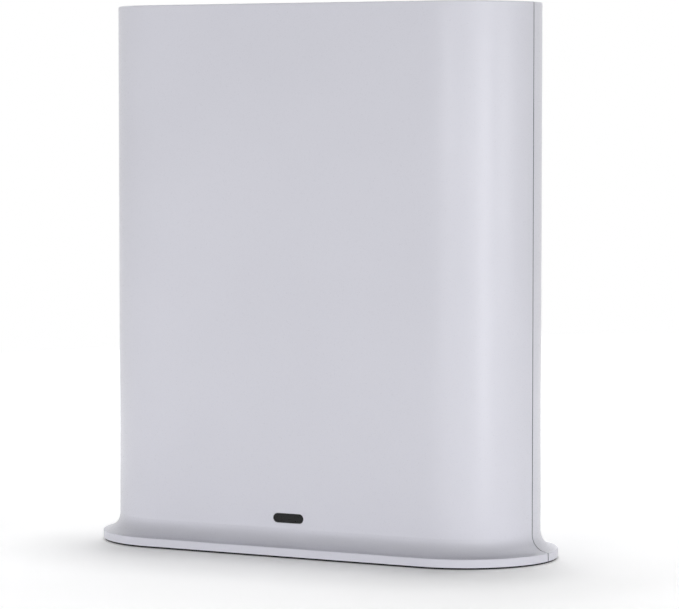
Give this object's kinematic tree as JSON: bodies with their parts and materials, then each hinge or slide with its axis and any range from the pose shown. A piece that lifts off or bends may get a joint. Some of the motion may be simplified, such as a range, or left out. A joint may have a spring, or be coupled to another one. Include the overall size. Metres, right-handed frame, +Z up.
{
  "type": "security camera base station",
  "caption": "Upright wireless hub for security cameras: a flat white case with rounded ends on a flared foot, a status light in front, and sockets and buttons in a bay at the back.",
  "frame": {"origin": "centre of the footprint, on the table", "axes": "+Z up, the front face towards -Y, +X to the right seen from the front"},
  "size_m": [0.1548, 0.0588, 0.17],
  "materials": {
    "white_plastic": "fine satin, slightly cool white",
    "black_plastic": "fine matt texture",
    "smoked_plastic": "glossy, smoked",
    "clear_plastic": "clear, polished",
    "pale_plastic": "plain moulded",
    "rubber_black": "soft matt",
    "board_green": "solder resist",
    "chip_black": "moulded epoxy",
    "pad_grey": "soft silicone",
    "steel": "bright tinned",
    "aluminium": "plain extruded",
    "gold": "gold plated"
  },
  "bodies": {
    "housing": {"front_cover": "white_plastic", "rear_cover": "white_plastic", "base_plate": "black_plastic", "ethernet_jack": "black_plastic", "usb_tongue": "black_plastic", "power_jack": "black_plastic", "antenna_lead_left": "black_plastic", "antenna_lead_right": "black_plastic", "antenna_lead_top": "black_plastic", "led_window": "smoked_plastic", "light_pipe": "clear_plastic", "ethernet_lights": "clear_plastic", "status_led": "pale_plastic", "heat_sink_pins": "pale_plastic", "foot_pad": "rubber_black", "main_board": "board_green", "antenna_left": "board_green", "antenna_right": "board_green", "antenna_top": "board_green", "processor": "chip_black", "memory_chips": "chip_black", "ethernet_transformer": "chip_black", "power_inductor": "chip_black", "sync_switch": "chip_black", "reset_switch": "chip_black", "thermal_pad": "pad_grey", "base_screws": "steel", "board_screws": "steel", "wifi_shield": "steel", "radio_shield": "steel", "ethernet_shield": "steel", "usb_shell": "steel", "power_pin": "steel", "power_contact": "steel", "heat_sink": "aluminium", "capacitors": "aluminium", "ethernet_contacts": "gold", "usb_contacts": "gold", "antenna_sockets": "gold"},
    "sync_button": {"sync_button": "white_plastic", "sync_plunger": "white_plastic"},
    "reset_plunger": {"reset_plunger": "black_plastic"}
  },
  "joints": [
    {"name": "sync_press", "type": "slide", "parent": "housing", "child": "sync_button", "axis": [0, -1, 0], "range_m": [0, 0.0005], "stiffness_N_per_m": 1000, "springref_m": -0.001},
    {"name": "reset_press", "type": "slide", "parent": "housing", "child": "reset_plunger", "axis": [0, -1, 0], "range_m": [0, 0.0003], "stiffness_N_per_m": 1500, "springref_m": -0.001}
  ]
}
